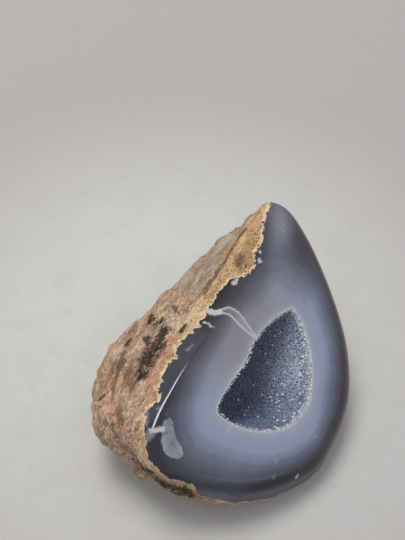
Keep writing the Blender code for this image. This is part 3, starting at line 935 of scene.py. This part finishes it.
def makeStone():
    columns = wall["columns"]
    rims = evenly(np.vstack([rimCurve, rimCurve[:1]]), columns + 1)[:-1]
    turns = turnOf(rims - hollowMiddle)
    edges = wayOf(turns) * outlineReach(openingCurve, turns)[:, None]
    openings = polishHeight(hollowMiddle + edges)
    rows = []
    for ring in range(hollow["rings"] - 1, 0, -1):
        rows.append(hollowPoints(edges, openings, math.pi / 2 * ring / hollow["rings"], 0))
    for ring in range(face["rings"]):
        share = 1 - (1 - ring / face["rings"]) ** face["ringPower"]
        spots = (hollowMiddle + edges) * (1 - share) + rims * share
        rows.append(fromFace(spots, polishHeight(spots)))
    rimRow = len(rows)

    tops = fromFace(rims, polishHeight(rims))
    ways = waysDown(tops)
    rimLine = fromFace(rimCurve, polishHeight(rimCurve))[:, :2]
    reach = np.maximum(outlineReach(bellyCurve, ways), outlineReach(rimLine, ways) + wall["bellyPastRim"])
    bellies = wayOf(ways) * reach[:, None]
    bellyHeights = between(wall["bellyHeight"], rolledShare(ways)) * tops[:, 2]
    footTurns = np.arctan2(np.sin(ways) * wall["footRadii"][0], np.cos(ways) * wall["footRadii"][1])
    feet = np.array(wall["footCentre"]) + np.array(wall["footRadii"]) * wayOf(footTurns)
    sideRows, lengths, bellyRows = sideLines(tops, bellies, bellyHeights, feet)
    rows += list(sideRows)
    foot = np.array([*wall["footCentre"], 0.0])
    for ring in range(1, wall["baseRings"]):
        rows.append(foot + (sideRows[-1] - foot) * (1 - ring / wall["baseRings"]))
    grid = np.array(rows)
    rollOver(grid, rimRow, np.concatenate([bellies, bellyHeights[:, None]], axis=1), bellyRows)
    normals = gridNormals(grid)
    print("stone grid", grid.shape)

    # Where each point is on the face, and how far it is from the edges of the polish and the agate.
    local = ontoFace(grid)
    spots = local[..., :2].reshape(-1, 2)
    wallRows = slice(rimRow, rimRow + wall["rings"] + 1)
    baseRows = slice(wallRows.stop, None)
    down = np.linspace(0, 1, wall["rings"] + 1)[:, None] * lengths[None, :]
    rimDistance = -np.linalg.norm(rimBeyond(local[..., :2]) - local[..., :2], axis=-1)
    rimDistance[wallRows] = down
    rimDistance[baseRows] = down[-1]
    edgeDistance = outlineDistance(spots, agateCurve).reshape(grid.shape[:2])
    edgeDistance[wallRows] = edgeDistance[rimRow] - down
    edgeDistance[baseRows] = -60.0  # far from the agate
    height, size = agate["teeth"]
    teeth = 4 * np.abs(noiseOver(grid, size, (9, 1, 3)))
    teeth = teeth + 2 * np.abs(noiseOver(grid, size * 0.5, (2, 7, 7)))
    edgeDistance += height * (teeth - 1) * (0.3 + 0.7 * ease(local[..., 1], -32, -12))
    lowerPart = ease(-local[..., 1], *rind["lowerPart"])
    stains = [stainMask(grid, rind["manganese"]), stainMask(grid, rind["brown"]), lowerPart]
    stains = np.stack(stains, axis=-1)
    skinGap = outlineDistance(spots, smoothOutline(rind["smoothSkin"], 4)).reshape(grid.shape[:2])
    smooth = ease(skinGap, -0.8, 0.8)
    tints = [stainMask(grid, rind["pink"]), stainMask(grid, rind["yellow"]), 2 * smooth - 1]
    tints = np.stack(tints, axis=-1)

    # Relief: broad and fine on the natural side, pits in the ground band.
    share = np.clip(0.15 + down / lengths * wall["fadeParts"] / 3, 0, 1)
    share *= np.clip((1 - down / lengths) * wall["fadeParts"], 0, 1)
    share *= np.clip(tops[:, 2] / wall["fullReliefHeight"], 0, 1)
    side = grid[wallRows]
    relief = broadRelief(side) * share
    bare = ease(-edgeDistance[wallRows], 0.2, 1.2)
    fine = fineRelief(side, smooth[wallRows]) * np.minimum(share + 0.25, 1) * bare * (share > 0)
    relief += fine
    # The relief seen on the rind is kept so its low places can be painted darker, a painted shade.
    reliefSeen = np.zeros(grid.shape[:2])
    reliefSeen[wallRows] = fine
    ground = slice(rimRow - rind["groundRows"], rimRow)
    cut, reliefSeen[ground] = groundRelief(
        grid[ground], rimDistance[ground], edgeDistance[ground], smooth[ground]
    )
    grid[ground] += normals[ground] * cut[..., None]
    grid[wallRows] += normals[wallRows] * relief[..., None]
    grid[wallRows, :, 2] = np.maximum(grid[wallRows, :, 2], 0)
    print("relief", relief.min(), relief.max())

    tip = hollowPoints(edges[:1], polishHeight(hollowMiddle[None] + (0.01, 0)), math.pi / 2, 0)
    points = np.vstack([grid.reshape(-1, 3), tip, foot[None]])
    count = grid.shape[0] * columns
    faces = closedFaces(grid.shape[0], columns, turned=True)

    def ends(values):
        # The values of the grid, and those of the hollow's floor and the middle of the foot.
        return np.concatenate([values.reshape(count, *values.shape[2:]), values[:1, 0], values[-1:, 0]])

    flat = np.vstack([spots, hollowMiddle[None], hollowMiddle[None]])
    middle = flat - hollowMiddle
    outward = np.linalg.norm(middle, axis=1) / outlineReach(rimCurve - hollowMiddle, turnOf(middle))
    outward = np.clip(outward, 0, 1)
    darkness, greyShare = faceShades(flat, middle, outward, ends(rimDistance))
    upperVein, lowerVein, crease = faceLines(flat)
    rightSide = np.clip(np.cos(turnOf(middle) - math.radians(20)), 0, 1) * ease(outward, 0.8, 0.97)
    openingDistance = np.linalg.norm(middle, axis=1) - outlineReach(openingCurve, turnOf(middle))
    print("marks ready")

    low, high = points.min(axis=0), points.max(axis=0)
    boxLow, boxHigh = (np.array(corner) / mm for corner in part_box("stone"))
    stretch = (boxHigh - boxLow) / (high - low)
    print("stone box", low.round(2), high.round(2), "stretch", stretch.round(4))

    def settle(places):
        return boxLow + (places - low) * stretch

    piece = makePiece(
        "agateStone", settle(points), faces, makeStoneMaterial(), True,
        rimDistance=ends(rimDistance), edgeDistance=ends(edgeDistance), stains=ends(stains),
        tints=ends(tints), relief=ends(reliefSeen), darkness=darkness, bandShare=outward,
        greyShare=greyShare, warmShare=rightSide, openingDistance=openingDistance, upperVein=upperVein,
        lowerVein=lowerVein, creaseLine=crease, bladeFoot=ease(-flat[:, 1], 26, 31),
        bladeDistance=outlineDistance(flat, np.array(agate["blade"], float)),
        paleMarks=marksGap(flat, agate["paleMarks"]), faintMarks=marksGap(flat, agate["faintMarks"]),
    )
    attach(piece, "root")
    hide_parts("stone")
    return piece, settle


crustPaint = {
    "deep": paint(58, 64, 86),
    "smoky": paint(104, 112, 136),
    "clear": paint(158, 165, 184),
    # White of the rim crystals, and of painted glints.
    "whiteAndGlint": paint(232, 235, 242),
    "lip": paint(190, 190, 194),
}


def makeCrustMaterial():
    material, tree, shader = newMaterial("quartzDruse", IOR=1.54)
    place = placeInMm(tree)
    fine = grain(tree, place, 0.6)
    # The tone carries painted light and shade across the walls and white painted glints, besides the
    # crystals' own tone.
    tone = attribute(tree, "crystalTone")
    stops = [(0.0, "deep"), (0.45, "smoky"), (0.85, "clear"), (1.0, "whiteAndGlint")]
    mixed = jitter(tree, tone, fine["Tone"], 0.3)
    colour = ramp(tree, mixed, [(stop, crustPaint[name]) for stop, name in stops])
    lip = jitter(tree, attribute(tree, "lipShare"), fine["Tone"], 0.8)
    broken = rise(tree, noiseNode(tree, place, 0.9, 3.0, 0.6), 0.4, 0.56, 0.35, 1.0)
    lipShare = times(tree, rise(tree, lip, 0.25, 0.85, 0, 0.9), broken)
    feed(tree, shader.inputs["Base Color"], mixPaint(tree, lipShare, colour, crustPaint["lip"]))
    feed(tree, shader.inputs["Roughness"], rise(tree, fine["Tone"], 0.35, 0.65, 0.18, 0.38))
    bumpOn(tree, shader, fine["Height"], 0.1, 0.4)
    return material


def crustShell():
    # The lining without its crystals: its underside, its lip, then the inside that the crystals grow on.
    columns = crust["columns"]
    turns = np.linspace(-math.pi, math.pi, columns + 1)[:-1]
    edges = wayOf(turns) * outlineReach(openingCurve, turns)[:, None]
    openings = polishHeight(hollowMiddle + edges)
    roundPlaces = np.concatenate([wayOf(turns) * 11, 0 * turns[:, None]], axis=1)
    lips = crust["lipWidth"][0] + crust["lipWidth"][1] * 2 * noiseOver(roundPlaces, 1.1)
    lips += 0.8 * noiseOver(np.concatenate([edges, 0 * edges[:, :1]], axis=1), 0.75, (2, 4, 6))
    lips = np.clip(lips, 0.1, 1.2)

    rows = []
    for ring in range(crust["outerRings"] - 1, 0, -1):
        rows.append(hollowPoints(edges, openings, math.pi / 2 * ring / crust["outerRings"], 0.3))
    rows.append(hollowPoints(edges, openings - crust["lipUnder"] - 0.5, 0.0, 0.1))
    for inset, under in ((0.03, 0.0), (0.35, -0.02), (0.7, 0.0)):
        rows.append(hollowPoints(edges, openings - crust["lipUnder"] - under, 0.0, inset * lips))
    outerRows = len(rows)
    for ring in range(crust["innerRings"]):
        turn = math.pi / 2 * (0.012 + 0.98 * ring / (crust["innerRings"] - 1))
        inset = lips + (crust["wall"] - lips) * min(1, ring / 4)
        rows.append(hollowPoints(edges, openings - crust["lipUnder"], turn, inset))
    grid = np.array(rows)
    inner = grid[outerRows:]
    normals = gridNormals(inner)
    if (normals[0] @ faceTurn[:, :2] * edges).sum() > 0:
        normals = -normals
    grid[outerRows:] += normals * (0.25 * noiseOver(inner, 0.9, (3, 3, 3)))[..., None]

    openingHeight = polishHeight(hollowMiddle[None] + (0.01, 0))
    floors = [hollowPoints(edges[:1], openingHeight, math.pi / 2, inset) for inset in (0.3, crust["wall"])]
    faces = closedFaces(grid.shape[0], columns)
    lip = np.zeros(grid.shape[:2])
    lip[outerRows - 4 : outerRows + 1] = 1.0
    lip[outerRows + 1] = 0.6
    points = np.vstack([grid.reshape(-1, 3), *floors])
    return points, faces, np.concatenate([lip.ravel(), [0, 0]]), grid[outerRows:], normals


def crystalPlaces(rng, corners, normals):
    # Places for crystals, spread evenly by area over the lining and never closer than the spacing.
    across = np.roll(corners, -1, axis=1) - corners
    downward = np.diff(corners, axis=0)
    areas = np.linalg.norm(np.cross(across[:-1], downward), axis=-1).ravel()
    chances = np.cumsum(areas) / areas.sum()
    taken, places = {}, []
    spacing = crust["spacing"]
    for _ in range(crust["crystals"] * crust["tries"]):
        cell = int(np.searchsorted(chances, rng.random()))
        ring, column = divmod(cell, crust["columns"])
        s, t = rng.random(), rng.random()
        after = (column + 1) % crust["columns"]
        top, bottom = (corners[row, column] * (1 - s) + corners[row, after] * s for row in (ring, ring + 1))
        spot = top * (1 - t) + bottom * t
        key = tuple(np.floor(spot / spacing).astype(int))
        near = [
            taken.get((key[0] + i, key[1] + j, key[2] + k))
            for i in (-1, 0, 1) for j in (-1, 0, 1) for k in (-1, 0, 1)
        ]
        if any(other is not None and np.linalg.norm(other - spot) < spacing for other in near):
            continue
        taken[key] = spot
        places.append((spot, normals[ring, column], (ring + t) / crust["innerRings"]))
        if len(places) == crust["crystals"]:
            break
    for _ in range(crust["rimCrystals"]):
        turn = rng.uniform(-math.pi, math.pi)
        edge = wayOf(np.array([turn])) * outlineReach(openingCurve, np.array([turn]))[:, None]
        lift = polishHeight(hollowMiddle + edge) - crust["rimUnder"]
        spot = hollowPoints(edge, lift, 0.0, rng.uniform(*crust["rimInset"]))[0]
        inward = faceTurn[:, :2] @ -edge[0] / np.linalg.norm(edge[0])
        places.append((spot, faceTurn[:, 2] + 0.6 * inward, 0.0))
    return places


def openingSides():
    # The two sides of the opening, from its highest point to its lowest.
    top, bottom = openingCurve[:, 1].argmax(), openingCurve[:, 1].argmin()
    rest = np.roll(openingCurve, -bottom, axis=0)[: len(openingCurve) - bottom + top]
    chains = (openingCurve[top : bottom + 1], rest)
    return [(chain[:, 1], chain[:, 0], chain[:, 1].argsort()) for chain in chains]


def makeCrust(settle):
    rng = random.Random(crust["seed"])
    shell, faces, shellLip, corners, normals = crustShell()
    points, tones, lipShares = [shell], [np.full(len(shell), 0.25)], [shellLip]
    places = crystalPlaces(rng, corners, normals)
    chains = openingSides()
    print("crystals", len(places))

    # One quartz crystal: six upright sides, uneven shoulders and a tip of flat faces.
    sides = crust["sides"]
    corner = np.array([(math.cos(a), math.sin(a)) for a in np.arange(sides) * 2 * math.pi / sides])
    start = len(shell)
    for spot, normal, depth in places:
        small = 0.55 + 0.45 * min(1, depth * 6)
        radius = between(crust["radius"], rng.random() ** 1.6) * small
        length = between(crust["length"], rng.random()) * small
        onFace = ontoFace(spot)
        left, right = (np.interp(onFace[1], high[order], across[order]) for high, across, order in chains)
        rightward = min(1, max(0, (onFace[0] - left) / max(2.0, right - left)))
        # Some crystals are painted white as painted glints, more on the right wall.
        sparkles = rng.random() < crust["sparkles"] * (0.4 + 1.2 * rightward)
        if sparkles:
            radius = length = crust["sparkleSize"]
        tilt = Vector([rng.gauss(0, crust["tilt"]) for _ in range(3)])
        upright = (Vector(normal) + tilt).normalized()
        spin = Matrix.Rotation(rng.random() * 6.3, 3, "Z")
        turn = np.array(upright.to_track_quat("Z", "Y").to_matrix() @ spin)
        shoulder = length * rng.uniform(0.45, 0.7)
        heights = shoulder + 0.35 * radius * np.array([rng.uniform(-1, 1) for _ in range(sides)])
        tipSpot = [rng.uniform(-0.25, 0.25) * radius, rng.uniform(-0.25, 0.25) * radius, length]
        base = np.concatenate([corner * radius, np.full((sides, 1), -crust["root"])], axis=1)
        upper = np.concatenate([corner * radius, heights[:, None]], axis=1)
        body = np.vstack([base, upper, [tipSpot]])
        points.append(spot + body @ turn.T)
        for k in range(sides):
            j = (k + 1) % sides
            faces.append((start + k, start + j, start + sides + j, start + sides + k))
            faces.append((start + sides + k, start + sides + j, start + 2 * sides))
        faces.append(tuple(start + k for k in range(sides - 1, -1, -1)))

        # Painted light and shade: the right wall is painted paler than the left, and its upper part paler
        # still.
        offMiddle = onFace[:2] - hollowMiddle
        tone = between(crust["tones"], ease(offMiddle[0], -2, 12))
        tone += crust["upperPaintedLight"] * ease(rightward, 0.4, 0.95) * ease(offMiddle[1], -6, 8)
        tone = min(0.92, max(0.0, tone + rng.gauss(0, crust["toneSpread"])))
        # Painted glints and some rim crystals take the white tone.
        if sparkles or (depth < 0.05 and rng.random() < crust["rimWhite"]):
            tone = 1.0
        tones.append(np.full(len(body), tone))
        lipShares.append(np.full(len(body), max(0.0, 1 - depth * 16)))
        start += len(body)
    piece = makePiece(
        "quartzCrust", settle(np.vstack(points)), faces, makeCrustMaterial(), False,
        crystalTone=np.concatenate(tones), lipShare=np.concatenate(lipShares),
    )
    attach(piece, "root")
    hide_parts("crystal_crust")
    return piece


def tellSize(piece):
    mesh = piece.data
    triangles = sum(len(polygon.vertices) - 2 for polygon in mesh.polygons)
    print(piece.name, len(mesh.vertices), "vertices", triangles, "triangles")


studio = {
    "floorSize": 4.0,
    # The floor is painted paler near the stone and dimmer far away, painted light.
    "floor": paint(187, 186, 183),
    "floorFar": paint(161, 157, 155),
    "floorMark": paint(160, 155, 151),
    "glowPlace": (-15.0, 20.0, 0.0),  # painted light: the floor is painted paler round here, a glow round the stone
    "glowReach": (30.0, 150.0),
    "world": paint(236, 238, 242),
    "worldStrength": 0.78,
    "keyPlace": (-0.25, 0.38, 1.25),
    "keyTarget": (0.0, 0.0, 0.02),
    "keyColour": (1.0, 0.985, 0.96),
    "keySize": 0.65,
    "keyPower": 12.0,
}


def makeFloor():
    material, tree, shader = newMaterial("paleFloor", Roughness=0.7)
    place = placeInMm(tree)
    marks = grain(tree, place, 14.0)
    share = rise(tree, marks["Tone"], 0.42, 0.66, 0, 0.2)
    # Painted light: paler round the stone, dimmer further off.
    away = vectorMath(tree, "DISTANCE", place, studio["glowPlace"]).outputs["Value"]
    colour = mixPaint(tree, rise(tree, away, *studio["glowReach"]), studio["floor"], studio["floorFar"])
    feed(tree, shader.inputs["Base Color"], mixPaint(tree, share, colour, studio["floorMark"]))
    bumpOn(tree, shader, marks["Tone"], 0.2, 0.2)
    half = studio["floorSize"] / 2 / mm
    corners = np.array([(-half, -half, 0), (half, -half, 0), (half, half, 0), (-half, half, 0)], float)
    makePiece("paleFloor", corners, [(0, 1, 2, 3)], material, False)


def makeStudio():
    data = bpy.data.lights.new("keyLight", "AREA")
    data.shape = "DISK"
    data.size = studio["keySize"]
    data.energy = studio["keyPower"]
    data.color = studio["keyColour"]
    lamp = bpy.data.objects.new("keyLight", data)
    lamp.location = studio["keyPlace"]
    lamp.visible_glossy = False
    towards = Vector(studio["keyTarget"]) - lamp.location
    lamp.rotation_euler = towards.to_track_quat("-Z", "Y").to_euler()
    bpy.context.scene.collection.objects.link(lamp)
    world = bpy.data.worlds.new("softRoom")
    world.use_nodes = True
    shade = world.node_tree.nodes["Background"]
    shade.inputs["Color"].default_value = studio["world"]
    shade.inputs["Strength"].default_value = studio["worldStrength"]
    bpy.context.scene.world = world
    bpy.context.scene.view_settings.view_transform = "Standard"
    bpy.context.scene.view_settings.look = "None"


cameraPlace = {"spot": (-0.00692, -0.13274, 0.23046), "turn": 38.47, "lens": 50.0, "sensor": 36.0}


def makeCamera():
    data = bpy.data.cameras.new("photoCamera")
    data.lens = cameraPlace["lens"]
    data.sensor_width = cameraPlace["sensor"]
    data.clip_start = 0.01
    camera = bpy.data.objects.new("photoCamera", data)
    camera.location = cameraPlace["spot"]
    camera.rotation_euler = (math.radians(cameraPlace["turn"]), 0, 0)
    bpy.context.scene.collection.objects.link(camera)
    bpy.context.scene.camera = camera


makeCamera()
makeFloor()
makeStudio()
print("studio ready")
stonePiece, settle = makeStone()
tellSize(stonePiece)
tellSize(makeCrust(settle))
